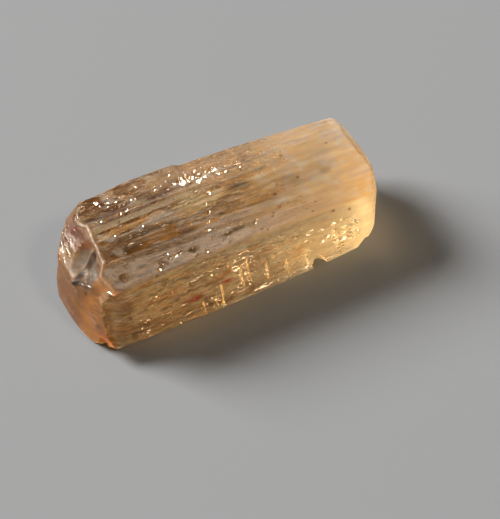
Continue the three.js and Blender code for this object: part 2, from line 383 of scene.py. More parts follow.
# the rim of the break is blunt, most of all at the front
def bluntBreak(x, y, z, inwardY, inwardZ, front):
    low, high = mesh["frontBlunt"]
    middle = smoothstep(z, *mesh["frontLow"]) * (1 - smoothstep(z, *mesh["frontHigh"]))
    blunt = np.where(front, low + (high - low) * middle, mesh["crestBlunt"])
    near = np.clip(1 - (x - leftEnd(y, z)) / blunt, 0, 1)
    rimInset, frontInset = mesh["bluntInset"]
    inset = blunt * (1 - np.sqrt(1 - near ** 2)) * np.where(front, frontInset, rimInset)
    inset += mesh["frontTaper"] * blunt * near ** 2 * front
    y += inwardY * inset
    z += inwardZ * inset


# the flake scar is pressed in from above, the nick from the front
def pressHollows(x, y, z):
    for centre, radii, axis, way in sideHollows:
        parts = [x, y, z]
        others = [i for i in range(3) if i != axis]
        inside = 1 - sum(((parts[i] - centre[i]) / radii[i]) ** 2 for i in others)
        wall = centre[axis] + way * radii[axis] * np.sqrt(np.maximum(inside, 0))
        within = (inside > 0) & ((parts[axis] - centre[axis]) ** 2 < (wall - centre[axis]) ** 2)
        parts[axis][within] = wall[within]


# etch pits like small roofs upside down
def cutPits(x, y, z, upper):
    for (px, py), (halfX, halfY), depth in pits:
        fall = np.clip(1 - np.abs(x - px) / halfX - np.abs(y - py) / halfY, 0, 1) * upper
        z -= depth * fall


def splitFlakes(x, y, z, upper, raggedness, shine):
    spreadX, spreadY = mesh["flakeSpread"]
    for k, (fx, fy, along, across) in enumerate(flakes):
        nx, ny, nz = flakeFacing
        nx, ny = nx + spreadX * (fraction(k, 8) - 0.5), ny + spreadY * (fraction(k, 9) - 0.5)
        away = ((x - fx) / along) ** 2 + ((y - fy) / across) ** 2 + 9 * ~upper  # upper faces only
        away *= raggedness
        middle = z.ravel()[away.argmin()] + mesh["flakeBite"] * along * nx / nz
        plane = middle - (nx * (x - fx) + ny * (y - fy)) / nz
        split = (away < 1) & (plane < z)
        z[split] = plane[split]
        shine[split] = 1


# small splits scattered over the stretches
def splitStretches(nominal, x, y, z, inwardY, inwardZ, faces, around, raggedness, shine):
    upperSpread, frontSpread = mesh["splitSpread"]
    for group, (face, x0, x1, s0, s1, count, along, across) in enumerate(splits):
        columns = np.flatnonzero(faces == face)
        for k in range(count):
            key = group * 50 + k
            row = int(np.argmin(np.abs(nominal[:, 0] - (x0 + (x1 - x0) * fraction(key, 21)))))
            column = columns[int((s0 + (s1 - s0) * fraction(key, 22)) * (len(columns) - 1))]
            long, wide = 0.5 + fraction(key, 23), 0.5 + fraction(key, 26)
            atX, atY, atZ = x[row, column], y[row, column], z[row, column]
            away = ((x - atX) / along / long) ** 2 + ((around - around[column]) / across / wide) ** 2
            away *= raggedness
            nx, ny, nz = frontFacing if face == frontFace else flakeFacing
            spread = frontSpread if face == frontFace else upperSpread
            nx, ny = nx + spread * (fraction(key, 24) - 0.5), ny + spread * (fraction(key, 25) - 0.5)
            outside = nx * (x - atX) + ny * (y - atY) + nz * (z - atZ)
            cut = (outside + mesh["splitBite"] * across) / -(ny * inwardY + nz * inwardZ)
            split = (away < 1) & (cut > 0)
            y[split] += (inwardY * cut)[split]
            z[split] += (inwardZ * cut)[split]
            shine[split] = 1


def cutLedges(x, y, z, inwardY, inwardZ, front, shine):
    rise, deep, fall = ledgeShape
    for lx, lz, half, count, pitch in ledges:
        for k in range(count):
            middle = lx + 0.5 * half * (fraction(lx + k, 6) - 0.5)
            up = (z - lz - (k - count / 2) * pitch) / rise
            profile = np.clip(np.minimum(up, 1 + (1 - up) * rise / fall), 0, 1)
            ledge = deep * profile * np.clip(2 - 2 * np.abs(x - middle) / half, 0, 1) * front
            y += inwardY * ledge
            z += inwardZ * ledge
            np.maximum(shine, np.minimum(1, ledge / deep * mesh["shineRise"]), out=shine)


def openCracks(crackRows, y, z, inwardY, inwardZ, front, shares, shine):
    for row, (at, height, half, depth) in zip(crackRows, cracks):
        lens = np.sqrt(np.clip(1 - ((shares - height) / half) ** 2, 0, 1)) * front * depth
        y[row] += inwardY[row] * lens
        z[row] += inwardZ[row] * lens
        shine[row] = np.maximum(shine[row], np.minimum(1, lens / depth * mesh["shineRise"]))


# the sides as a grid, rows along the prism and columns round it
def sideGrid():
    faces, shares, around = aroundPoints()
    rows, crackRows = rowPlaces()
    x = np.tile(rows[:, None], (1, len(faces)))
    start, end = mesh["blankStart"], prism["wornEnd"]
    toLeft = (1 - smoothstep(rows, start, start + mesh["breakReach"]))[:, None]
    toRight = smoothstep(rows, end - mesh["wearReach"], end)[:, None]
    nominal = x.copy()
    y, z, inwardY, inwardZ, shine = (np.zeros_like(x) for part in range(5))
    front, upper = faces == frontFace, (faces >= sheenFace) & (faces <= backSlope)
    for again in range(mesh["endPasses"]):
        layFaces(x, y, z, inwardY, inwardZ, faces, shares)
        smoothCorners(y, z, shares)
        roundWornEnd(x, y, z)
        bluntBreak(x, y, z, inwardY, inwardZ, front)
        x = nominal + (leftEnd(y, z) - start) * toLeft + (rightEnd(y, z) - end) * toRight
    pressHollows(x, y, z)
    (length, width), (least, more) = mesh["raggedGrain"], mesh["ragged"]
    raggedness = least + more * valueNoise(x / length, around / width + 0 * x, 80)
    cutPits(x, y, z, upper)
    splitFlakes(x, y, z, upper, raggedness, shine)
    splitStretches(nominal, x, y, z, inwardY, inwardZ, faces, around, raggedness, shine)
    cutLedges(x, y, z, inwardY, inwardZ, front, shine)
    openCracks(crackRows, y, z, inwardY, inwardZ, front, shares, shine)
    return x, y, z, inwardY, inwardZ, faces, shares, around, shine


# rings that close an end, drawn in to the tip in its middle
def capRings(y, z, surface, rings):
    middleY, middleZ = y.mean(), z.mean()
    share = (1 - np.arange(1, rings) / rings)[:, None]
    ringY, ringZ = middleY + (y - middleY) * share, middleZ + (z - middleZ) * share
    tip = surface(np.array([middleY]), np.array([middleZ]))[0]
    return surface(ringY, ringZ), ringY, ringZ, (tip, middleY, middleZ)


# marks on the faces: tint, x, mm down from the back edge, half length, half width, strength
marks = [
    # back slope
    ("umber", 1.8, 0.5, 0.8, 0.35, 0.5), ("russet", 2.4, 2.6, 1.6, 0.8, 0.7),
    ("russet", 6.1, 3.3, 1.2, 0.6, 0.9), ("umber", 2.2, 1.4, 1.0, 0.16, 0.5),
    ("umber", 5.4, 2.2, 0.9, 0.14, 0.5), ("umber", 1.9, 3.1, 0.6, 0.12, 0.6),
    # the whitish marks of the back slope are painted glints, the long one at x 10.3 a painted sparkle
    ("milkAndGlint", 3.0, 0.9, 0.25, 0.8, 0.7), ("milkAndGlint", 5.3, 0.8, 0.12, 0.5, 0.7),
    ("milkAndGlint", 4.4, 2.6, 0.2, 0.4, 0.8), ("tan", 10, 1.6, 3.2, 1.8, 0.8),
    ("milkAndGlint", 10.3, 2.9, 1.6, 0.3, 0.6), ("russet", 13.2, 2.7, 0.2, 0.16, 0.8),
    ("russet", 4.2, 3.75, 3.1, 0.14, 0.9), ("rust", 15.7, 3.87, 0.14, 0.08, 0.9),
    ("rust", 11.3, 3.4, 0.12, 0.06, 0.8),
    # strip before the trough
    # the ash lane at x 3.9 is the strip's painted grey reflection of the sky
    ("ash", 3.9, 4.16, 3.2, 0.2, 0.9), ("umber", 4.6, 4.5, 4.4, 0.06, 0.8),
    ("umber", 12.0, 4.35, 2.2, 0.06, 0.9), ("tan", 9.0, 3.9, 2.6, 0.3, 0.6),
    ("rust", 19.3, 4.1, 0.12, 0.07, 0.9), ("ash", 21.2, 11.0, 1.0, 2.2, 0.4),
    # trough
    ("amber", 2.9, 4.95, 1.6, 0.3, 0.7), ("umber", 2.6, 5.3, 1.2, 0.08, 0.7),
    # the whitish marks of the trough are painted glints
    ("haze", 5.5, 5.25, 1.2, 0.45, 0.7), ("milkAndGlint", 1.5, 5.5, 0.4, 0.24, 0.8),
    ("milkAndGlint", 3.6, 5.5, 0.3, 0.28, 0.6), ("umber", 3.8, 6.02, 3.2, 0.18, 0.9),
    ("umber", 2.1, 7.1, 1.2, 0.7, 0.75), ("haze", 1.55, 7.1, 0.28, 0.5, 0.8),
    ("brown", 1.6, 6.4, 1.2, 0.3, 0.6), ("umber", 6.6, 7.25, 0.5, 0.4, 0.5),
    ("umber", 4.6, 7.6, 1.6, 0.14, 0.5), ("umber", 6.2, 6.7, 0.35, 0.08, 0.9),
    ("umber", 8.1, 6.65, 0.4, 0.08, 0.8), ("gold", 8.4, 5.0, 1.4, 0.8, 0.6),
    ("umber", 9.4, 5.9, 1.5, 0.08, 0.5), ("umber", 11.6, 4.95, 1.0, 0.36, 0.7),
    ("pale", 13.4, 4.9, 0.45, 0.4, 0.5), ("slate", 15.3, 6.1, 0.9, 0.7, 0.4),
    ("umber", 18.0, 6.2, 0.5, 0.28, 0.4), ("umber", 12.0, 6.9, 2.2, 0.1, 0.6),
    ("umber", 10.0, 7.3, 1.6, 0.08, 0.5), ("rust", 13.7, 6.66, 0.18, 0.12, 1),
    ("rust", 15.9, 5.97, 0.13, 0.09, 1), ("rust", 14.2, 6.0, 0.12, 0.08, 0.8),
    # smooth face, its lilac-grey a painted reflection of the sky; its whitish marks are painted glints
    ("umber", 0.4, 9.0, 0.4, 0.1, 0.6), ("brown", 0.8, 8.72, 0.3, 0.16, 0.8),
    ("russet", -0.4, 9.35, 0.6, 0.3, 0.8), ("umber", 2.5, 8.6, 0.4, 0.06, 0.9),
    ("umber", 2.3, 9.1, 0.5, 0.05, 0.8), ("umber", 3.9, 8.9, 0.16, 0.13, 0.7),
    ("umber", 6.2, 8.75, 0.28, 0.19, 0.85), ("umber", 9.7, 8.5, 1.5, 0.2, 0.8),
    ("umber", 12.8, 8.2, 0.2, 0.16, 0.7), ("milkAndGlint", 4.7, 8.8, 0.5, 0.2, 0.6),
    ("milkAndGlint", 8.6, 9.0, 0.3, 0.1, 0.7), ("milkAndGlint", 13.9, 7.4, 0.5, 0.2, 0.8),
    ("lilac", 14.5, 8.9, 3.6, 0.8, 0.7), ("umber", 14.4, 8.5, 1.6, 0.03, 0.6),
    ("rust", 13.4, 7.87, 0.17, 0.13, 1), ("rust", 16.0, 8.5, 0.12, 0.08, 1),
    ("rust", 15.5, 9.23, 0.12, 0.09, 1),
    # front face
    ("rust", 17.0, 9.92, 0.14, 0.14, 1), ("rust", 18.3, 10.3, 0.13, 0.16, 1),
    ("rust", 2.0, 9.85, 0.22, 0.12, 0.6), ("brown", 0.6, 11.1, 0.45, 0.36, 0.9),
    ("milkAndGlint", 3.0, 10.2, 0.2, 0.1, 0.8), ("umber", 3.3, 12.4, 0.5, 0.07, 0.8),
    ("umber", 2.6, 11.6, 1.2, 0.06, 0.6), ("umber", 1.4, 13.0, 1.6, 0.08, 0.7),
    ("umber", 5.0, 13.6, 2.2, 0.06, 0.7), ("scarlet", 5.5, 12.6, 0.6, 0.2, 1),
    ("scarlet", 8.1, 12.2, 0.4, 0.13, 1), ("umber", 13.8, 10.9, 0.6, 0.05, 0.6),
    ("umber", 12.2, 13.2, 0.9, 0.14, 0.5), ("amber", 14.0, 12.2, 0.5, 0.5, 0.5),
    # the large whitish marks at x 9.8 and 18.8 are painted glints
    ("milkAndGlint", 12.3, 9.8, 0.4, 0.3, 0.6), ("milkAndGlint", 9.8, 11.7, 0.6, 1.1, 0.6),
    ("milkAndGlint", 18.8, 12.0, 0.5, 0.8, 0.5), ("umber", 0.8, 10.4, 0.9, 0.06, 0.7),
    ("umber", 6.6, 11.2, 1.4, 0.05, 0.4), ("brown", 3.0, 13.2, 2.6, 0.5, 0.5),
    ("umber", 18.0, 11.0, 0.5, 0.05, 0.5),
]
# thin colours of the surface, over one clear crystal; some of them also stand for painted reflection,
# glints and shade where the marks lay them
tints = {
    "gold": (0.92, 0.76, 0.44),
    # lilac-grey, on the smooth face a painted reflection of the sky
    "lilac": (0.86, 0.70, 0.60),
    "olive": (0.95, 0.55, 0.20),
    "tan": (0.9, 0.64, 0.42),
    "brown": (0.32, 0.165, 0.075),
    "russet": (0.14, 0.05, 0.025),
    # grey-tan, on the strip partly a painted reflection of the sky
    "ash": (0.55, 0.43, 0.31),
    "cream": (1.0, 0.73, 0.41),
    "pale": (1.0, 0.94, 0.80),
    "haze": (0.94, 0.80, 0.68),
    # whitish: milky patches, and where the marks say so painted glints
    "milkAndGlint": (0.98, 0.93, 0.88),
    "amber": (0.92, 0.40, 0.09),
    "rose": (0.50, 0.17, 0.11),
    # dark grey, in the break's scoop a painted reflection
    "slate": (0.30, 0.27, 0.25),
    # darkest brown: dark lanes, and in the break's scoop painted shade
    "umber": (0.05, 0.022, 0.010),
    "rust": (0.17, 0.01, 0.004),
    "scarlet": (0.5, 0.008, 0.003),
    "crimson": (0.42, 0.07, 0.05),
}
# each face's own tint, then the tints that streak it: length, width, how rare, strength
faceLooks = [
    # front face
    ("gold", ("brown", 0.8, 0.14, 0.5, 0.85), ("milkAndGlint", 0.5, 0.14, 0.56, 0.9),
     ("amber", 2.0, 0.3, 0.58, 0.5), ("umber", 0.6, 0.14, 0.66, 0.8)),
    # smooth face, its lilac tint a painted reflection of the sky
    ("lilac", ("haze", 2.5, 0.4, 0.6, 0.6)),
    # trough
    ("olive", ("brown", 1.3, 0.34, 0.5, 0.85), ("haze", 0.8, 0.26, 0.6, 0.8),
     ("amber", 1.0, 0.24, 0.6, 0.7)),
    # strip before the trough, its grey-tan partly the crystal's tan and partly a painted reflection of the
    # sky
    ("ash", ("haze", 1.4, 0.3, 0.56, 0.6), ("brown", 0.9, 0.2, 0.6, 0.5)),
    # back slope
    ("brown", ("russet", 0.9, 0.3, 0.56, 0.8), ("haze", 0.5, 0.24, 0.58, 0.85),
     ("gold", 0.8, 0.3, 0.56, 0.6)),
    # back and the faces below
    ("gold", ("brown", 2.0, 0.3, 0.6, 0.6), ("pale", 1.0, 0.3, 0.6, 0.8)),
    ("pale", ("gold", 2.0, 0.3, 0.6, 0.6)),
    ("pale", ("gold", 2.0, 0.3, 0.6, 0.6)),
    ("gold", ("brown", 1.5, 0.2, 0.62, 0.6)),
]
paint = {
    # the smooth face with its painted grey reflection of the sky begins this many mm down from the back
    # edge, and higher towards the worn end
    "sheenStart": (7.95, -0.08),
    # x from and to over which a face takes its worn tint
    "upperWorn": (8, 18),
    "troughWorn": (12, 20),
    "lowerWorn": (0, 14),
    # the faces that are darker towards the break, and x from and to over which that ends
    "leftShade": {
        sheenFace: (0.6, 0.58, 0.52),
        trough: (0.5, 0.4, 0.28),
        strip: (0.9, 0.75, 0.55),
        frontFace: (0.85, 0.9, 0.9),
    },
    "leftShadeEnd": (5, 9),
    # mottling of the worn part: tint, length, width, noise seed, how rare, strength
    "mottling": [
        ("lilac", 0.7, 0.9, 95, (0.4, 0.7), 0.6),
        ("milkAndGlint", 0.35, 0.5, 96, (0.5, 0.8), 0.5),
    ],
    "mottlingOver": (12, 17),
    "streakBand": 0.16,  # how soft a streak's edge is
    "streakFine": (0.3, 2.7, 2.1),  # share of finer noise, how many times closer along and across
    "streaksLost": (0.85, 9, 17),  # share lost, x from and to
    "markGrain": (0.5, 0.12),  # of a mark's ragged outline, along and across
    "markRagged": (0.4, 0.8),  # least, how much more
    "raggedFrom": 0.2,  # half length of the smallest mark with a ragged outline
    "rimMilk": (0.35, 0.1, 0.8),  # at the worn end's rim: how much, mm from it
    "rimBreak": (0.7, 0, 0.5),  # the break's tints at its rim
    "crestMilk": (0.3, (5.2, 5.6), (-3.0, -2.2), (2.6, 3.2)),  # how much, over z, begins and ends over y
    "crestReach": 0.1,  # mm from the rim
}
finish = {
    # of each face in turn
    "frost": (0.2, 0.14, 0.16, 0.14, 0.16, 0.25, 0.3, 0.3, 0.2),
    "hackle": (0.4, 0.05, 0.25, 0.1, 1.0, 0.3, 0.2, 0.1, 0.3),
    "grain": (0.8, 0.05, 0.3, 0.05, 0.35, 0.4, 0.3, 0.3, 0.5),
    "striae": (1.0, 0.35, 0.8, 0.4, 0.9, 1.0, 1.0, 0.3, 1.0),
    "wornFrost": 0.3,
    "wornFrostOver": (9.5, 19),  # x from and to
    "hackleLost": (0.95, 12, 16),  # share lost, x from and to
    "grainLost": (0.75, 9, 17),
    "striaeLost": 0.85,
    "striaeEdge": (6, 0.15),  # how fast they grow from a face's edges, least
    "edgeFrost": (0.35, 0.02, 0.16),  # beside the front's upper edge: how much, share of the width
    "rimFrost": (0.1, 0.5),  # at the break's rim, on the front face and on the others
    "rimFrostOver": (0.1, 0.5),  # mm from the rim
    "wornRimFrost": (0.3, 0.2, 1.2),  # how much, mm from the rim
    "shineKeeps": 0.2,  # share of the frost that a fresh split keeps
    "breakGrain": 0.1,
}
# tints of the break, with painted shade and reflection in its scoop: tint, y, z, half widths, strength
breakTints = [
    ("rose", 2.3, 5.1, 1.2, 0.9, 1), ("rose", 1.2, 5.3, 0.9, 0.6, 0.8),
    ("gold", -4.2, 4.3, 1.2, 0.9, 0.7), ("russet", -3.9, 2.3, 0.5, 0.5, 0.5),
    # the two slate spots are the scoop's painted grey reflection
    ("tan", -3.2, 5.1, 0.7, 0.4, 0.6), ("slate", 0.3, 4.7, 0.5, 0.8, 0.8),
    ("slate", -1.5, 4.9, 0.8, 0.6, 1), ("brown", -1.8, 4.1, 1.0, 0.5, 0.9),
    # the umber band from (-0.6, 5.4) down to (-0.85, 3.7) is painted shade on the scoop's wall that turns
    # away from the light
    ("umber", -0.6, 5.4, 0.4, 0.35, 1), ("umber", -0.5, 4.8, 0.42, 0.4, 1),
    ("umber", -0.5, 4.2, 0.42, 0.4, 1), ("umber", -0.85, 3.7, 0.42, 0.3, 1),
    ("umber", -1.8, 3.5, 0.22, 0.18, 0.9), ("crimson", 2.5, 5.15, 0.22, 0.16, 0.9),
    ("crimson", 3.0, 5.25, 0.16, 0.14, 0.8), ("crimson", 2.1, 5.6, 0.2, 0.1, 0.8),
    ("crimson", 1.7, 5.0, 0.2, 0.12, 0.8), ("crimson", 2.9, 4.6, 0.14, 0.12, 0.8),
    ("crimson", 0.9, 5.3, 0.2, 0.1, 0.6),
]
breakLook = {
    "frost": 0.36,
    "dullScoop": ((-0.7, 4.4), (1.4, 1.1), 0.38),  # middle (y, z), half widths, how much
    "dullLump": ((2.6, 3.4), (2.6, 3.4), 0.3),  # distance to the front, z, how much
    "tintRagged": (0.35, 0.3),  # grain and reach of the wavering of the tints
    "layers": ((0.9, 0.16), (0.45, 0.65), 0.8),  # length and height, how rare, strength
    "layersOver": ((2.2, 3.2), (0.8, 2.4)),  # distance to the front, z
    "frontLight": (0.6, 1.4, 2.6),  # how much lighter towards the front, over which distance
    "backLight": 0.5,
    "rough": (0.3, 2.8, 4.0),  # how much, z from and to
    "roughSpots": [((2.4, 4.9), (1.2, 1.1), 0.45), ((-1.3, 4.5), (0.9, 0.9), 0.4)],
    "roughFront": ((2.2, 3.2), (3.3, 4.4), 0.6),  # distance to the front, z, how much
    "hackle": ((0.6, 1.4), (2.6, 3.6), 0.3),  # y, z, how much
}


# how much is left of a value that fades out from low to high
def fadeOut(x, much, low, high):
    return much * (1 - smoothstep(x, low, high))


# 1 inside an oval and 0 well outside it, with a flatter top for a higher power
def spot(u, v, middle, half, power=1):
    return np.exp(-(((u - middle[0]) / half[0]) ** 2 + ((v - middle[1]) / half[1]) ** 2) ** power)


# a tint laid over what is there, by its share
def layTint(tint, name, share):
    tint += (np.array(tints[name]) - tint) * share[..., None]


# the faces' streaks and the marks, over their own tints
def tintAt(x, faces, around):
    level = np.broadcast_to(around[faces == prism["backEdge"]][0] - around, x.shape)
    first, slant = paint["sheenStart"]
    besideTrough = (faces == sheenFace) | (faces == trough)
    faces = np.where(besideTrough, np.where(level < first + slant * x, trough, sheenFace), faces)
    tint = np.array([tints[look[0]] for look in faceLooks])[faces]
    upper = (faces >= sheenFace) & (faces <= backSlope)
    wornTint = np.where(upper[..., None], tints["cream"], tints["pale"])
    worn = np.where(upper, smoothstep(x, *paint["upperWorn"]), smoothstep(x, *paint["lowerWorn"]))
    worn = np.where(faces == trough, smoothstep(x, *paint["troughWorn"]), worn)
    tint += (wornTint - tint) * worn[..., None]
    dark = fadeOut(x, 1, *paint["leftShadeEnd"])
    for face, shade in paint["leftShade"].items():
        tint *= 1 + (np.array(shade) - 1) * (dark * (faces == face))[..., None]
    for name, length, width, seed, rare, strength in paint["mottling"]:
        mottled = smoothstep(valueNoise(x / length, level / width, seed), *rare)
        layTint(tint, name, strength * mottled * smoothstep(x, *paint["mottlingOver"]))
    lost, low, high = paint["streaksLost"]
    streaked = 1 - lost * smoothstep(x, low, high)
    fine, closerX, closerY = paint["streakFine"]
    for face, (own, *streaks) in enumerate(faceLooks):
        for k, (name, length, width, rare, strength) in enumerate(streaks):
            seed = face * 5 + k
            amount = (1 - fine) * valueNoise(x / length, level / width, seed)
            amount += fine * valueNoise(x / length * closerX, level / width * closerY, seed + 0.5)
            streak = smoothstep(amount, rare, rare + paint["streakBand"])
            layTint(tint, name, strength * streak * streaked * (faces == face))
    (length, width), (least, more) = paint["markGrain"], paint["markRagged"]
    ragged = least + more * valueNoise(x / length, level / width, 90)
    for name, mx, down, along, across, strength in marks:
        away = ((x - mx) / along) ** 2 + ((level - down) / across) ** 2
        if along > paint["raggedFrom"]:
            away = away * ragged
        layTint(tint, name, strength * np.exp(-away * away))
    return tint


def finishAt(x, faces, shares):
    looks = {k: np.array(finish[k])[faces] * np.ones_like(x) for k in ("frost", "hackle", "grain")}
    looks["frost"] += finish["wornFrost"] * smoothstep(x, *finish["wornFrostOver"])
    toEdge = np.where(faces == frontFace, 1 - shares, shares)
    looks["frost"] += fadeOut(toEdge, *finish["edgeFrost"]) * (faces <= sheenFace)
    for name in ("hackle", "grain"):
        lost, low, high = finish[name + "Lost"]
        looks[name] *= 1 - lost * smoothstep(x, low, high)
    return looks


# the break is dull, most of all in its scoop and on its lump
def breakFrost(y, z):
    middle, half, scoopMore = breakLook["dullScoop"]
    toFront, low, lumpMore = breakLook["dullLump"]
    lump = smoothstep(-y, *toFront) * (1 - smoothstep(z, *low))
    return breakLook["frost"] + scoopMore * spot(y, z, middle, half, 2) + lumpMore * lump


def breakTintAt(y, z):
    grain, reach = breakLook["tintRagged"]
    y = y + reach * (valueNoise(y / grain, z / grain, 91) - 0.5)
    z = z + reach * (valueNoise(y / grain, z / grain, 92) - 0.5)
    tint = np.ones((len(y), 3)) * tints["amber"]
    for name, cy, cz, halfY, halfZ, strength in breakTints:
        layTint(tint, name, strength * spot(y, z, (cy, cz), (halfY, halfZ), 2))
    (length, height), rare, strength = breakLook["layers"]
    toFront, low = breakLook["layersOver"]
    layers = smoothstep(valueNoise(y / length, z / height, 93), *rare)
    layTint(tint, "brown", strength * layers * smoothstep(-y, *toFront) * smoothstep(z, *low))
    lighter, low, high = breakLook["frontLight"]
    return tint * (breakLook["backLight"] + lighter * smoothstep(-y, low, high))[:, None]


# the break is rough high up, hackly at the top of its back and in its scoop, smooth on its lump
def breakRoughness(y, z):
    more, low, high = breakLook["rough"]
    rough = more * smoothstep(z, low, high)
    for middle, half, more in breakLook["roughSpots"]:
        rough += more * spot(y, z, middle, half)
    toFront, low, more = breakLook["roughFront"]
    return rough + more * smoothstep(-y, *toFront) * smoothstep(z, *low)


def breakHackle(y, z):
    overY, overZ, much = breakLook["hackle"]
    return much * smoothstep(z, *overZ) * smoothstep(y, *overY)


# one skin from the grid of the sides and the rings over both ends, with the points of each end
def crystalSkin(x, y, z):
    rows, columns = x.shape
    caps = [capRings(y[0], z[0], leftEnd, mesh["leftRings"]),
            capRings(y[-1], z[-1], rightEnd, mesh["rightRings"])]
    points = [np.stack([x, y, z], -1).reshape(-1, 3)]
    i = np.arange(columns)
    j = (i + 1) % columns

    def band(a, b):
        return np.stack([a + i, b + i, b + j, a + j], -1)

    quads = [band(r * columns, (r + 1) * columns) for r in range(rows - 1)]
    triangles, ends = [], []
    start = rows * columns
    for end, (gx, gy, gz, tip) in enumerate(caps):
        points += [np.stack([gx, gy, gz], -1).reshape(-1, 3), np.array([tip])]
        chain = [end * (rows - 1) * columns] + [start + k * columns for k in range(len(gx))]
        for a, b in zip(chain, chain[1:]):
            quads.append(band(b, a) if end == 0 else band(a, b))
        middle = start + len(gx) * columns
        fan = [chain[-1] + i, np.full(columns, middle), chain[-1] + j]
        triangles.append(np.stack(fan[::-1] if end == 0 else fan, -1))
        ends.append(slice(start, middle + 1))
        start = middle + 1
    polygons = np.concatenate(quads).tolist() + np.concatenate(triangles).tolist()
    return np.concatenate(points), polygons, ends


# how strong each kind of relief and finish is at each point
def paintFinish(points, ends, x, y, z, faces, shares, shine):
    rows, columns = x.shape
    sides, (left, right) = x.size, ends
    breakY, breakZ = points[left, 1], points[left, 2]
    values = {name: np.zeros(len(points), np.float32) for name in
              ("stria", "broken", "worn", "frost", "hackle", "grain")}
    worn = wornShare(x)
    growing, least = finish["striaeEdge"]
    edge = np.clip(np.minimum(shares, 1 - shares) * growing, least, 1)
    rimFade = np.minimum(np.arange(rows) / mesh["calmRows"], 1)[:, None]
    striae = np.array(finish["striae"])[faces] * edge * (1 - finish["striaeLost"] * worn)
    values["stria"][:sides] = (striae * rimFade * (1 - shine)).ravel()
    rings = np.append(np.repeat(np.arange(1, mesh["leftRings"]), columns), mesh["leftRings"])
    values["broken"][left] = breakRoughness(breakY, breakZ) * smoothstep(rings, 0, mesh["calmRings"])
    values["worn"][:sides] = worn.ravel()
    values["worn"][right] = 1
    looks = finishAt(x, faces, shares)
    looks["frost"] *= 1 - (1 - finish["shineKeeps"]) * shine
    frontMore, otherMore = finish["rimFrost"]
    more = np.where(faces == frontFace, frontMore, otherMore)
    looks["frost"] += fadeOut(x - leftEnd(y, z), more, *finish["rimFrostOver"])
    looks["frost"] += fadeOut(rightEnd(y, z) - x, *finish["wornRimFrost"])
    for name, look in looks.items():
        values[name][:sides] = look.ravel()
    values["frost"][left] = breakFrost(breakY, breakZ)
    values["frost"][right] = finish["frost"][frontFace] + finish["wornFrost"]
    values["hackle"][left] = breakHackle(breakY, breakZ)
    values["grain"][left] = finish["breakGrain"]
    return values


def paintTint(points, ends, x, y, z, faces, around):
    sides, (left, right) = x.size, ends
    tint = np.ones((len(points), 3), np.float32)
    tint[left] = breakTintAt(points[left, 1], points[left, 2])
    tint[right] = tints["cream"]
    tint[:sides] = tintAt(x, faces, around).reshape(-1, 3)
    toRim, toEnd = x - leftEnd(y, z), rightEnd(y, z) - x
    layTint(tint[:sides], "milkAndGlint", fadeOut(toEnd, *paint["rimMilk"]).ravel())
    nearBreak = fadeOut(toRim, *paint["rimBreak"]).ravel()[:, None]
    tint[:sides] += (breakTintAt(y.ravel(), z.ravel()) - tint[:sides]) * nearBreak
    much, overZ, begins, stops = paint["crestMilk"]
    crest = smoothstep(z, *overZ) * smoothstep(y, *begins) * fadeOut(y, much, *stops)
    layTint(tint[:sides], "milkAndGlint", (crest * (toRim < paint["crestReach"])).ravel())
    return tint


sidesApart = 40  # mm, so that a pattern of the sides doesn't repeat at the ends


# what the relief and the patterns follow: the way into the crystal, and mm along and round it
def directions(points, ends, x, inwardY, inwardZ, around):
    sides, (left, right) = x.size, ends
    inward = np.zeros((len(points), 3), np.float32)
    inward[:sides, 1], inward[:sides, 2] = inwardY.ravel(), inwardZ.ravel()
    inward[left, 0], inward[right, 0] = 1, -1
    growth = points[:, [1, 2, 0]].astype(np.float32)
    growth[:sides, 0] = x.ravel()
    growth[:sides, 1] = np.tile(around, len(x))
    growth[:sides, 2] = sidesApart
    return inward, growth


def crystalMesh():
    x, y, z, inwardY, inwardZ, faces, shares, around, shine = sideGrid()
    points, polygons, ends = crystalSkin(x, y, z)
    ox, oy = prism["origin"]
    data = bpy.data.meshes.new("topazCrystal")
    data.from_pydata(((points - (ox, oy, 0)) * mm).tolist(), [], polygons)
    for name, array in paintFinish(points, ends, x, y, z, faces, shares, shine).items():
        data.attributes.new(name, "FLOAT", "POINT").data.foreach_set("value", array)
    inward, growth = directions(points, ends, x, inwardY, inwardZ, around)
    tint = paintTint(points, ends, x, y, z, faces, around)
    for name, array in (("inward", inward), ("growth", growth), ("tint", tint)):
        data.attributes.new(name, "FLOAT_VECTOR", "POINT").data.foreach_set("vector", array.ravel())
    data.update()
    rows, columns = x.shape
    print("crystal grid:", rows, "by", columns, "points,", 2 * len(polygons) - 2 * columns, "triangles")
    return data


# fine relief, in mm, with its depths along the way into the crystal
relief = {
    "Lamella Depth": 0.05,
    "Lamella Width": 0.34,
    "Lamella Length": 1.8,
    "Stria Depth": 0.022,
    "Stria Width": 0.15,
    "Stria Length": 0.8,
    "Break Depth": 0.3,
    "Break Size": 0.9,
    "Hackle Depth": 0.16,
    "Hackle Size": 0.33,
    "Wear Depth": 0.05,
    "Wear Size": 0.4,
    "Seed": 11,
}
sharpFrom = 24  # degrees between two faces


# a socket is linked, a plain number is set
def link(tree, value, socket):
    if hasattr(value, "is_linked"):
        tree.links.new(value, socket)
    else:
        socket.default_value = value


def mathNode(tree, operation, *values):
    node = tree.nodes.new("ShaderNodeMath")
    node.operation = operation
    for value, socket in zip(values, node.inputs):
        link(tree, value, socket)
    return node.outputs[0]


def times(tree, a, b):
    return mathNode(tree, "MULTIPLY", a, b)


def plus(tree, a, b):
    return mathNode(tree, "ADD", a, b)


def combine(tree, *values):
    node = tree.nodes.new("ShaderNodeCombineXYZ")
    for value, socket in zip(values, node.inputs):
        link(tree, value, socket)
    return node.outputs[0]


def scaled(tree, vector, factor):
    node = tree.nodes.new("ShaderNodeVectorMath")
    node.operation = "SCALE"
    link(tree, vector, node.inputs[0])
    link(tree, factor, node.inputs["Scale"])
    return node.outputs[0]


def attribute(tree, name, kind="FLOAT"):
    node = tree.nodes.new("GeometryNodeInputNamedAttribute")
    node.data_type = kind
    node.inputs["Name"].default_value = name
    return node.outputs["Attribute"]


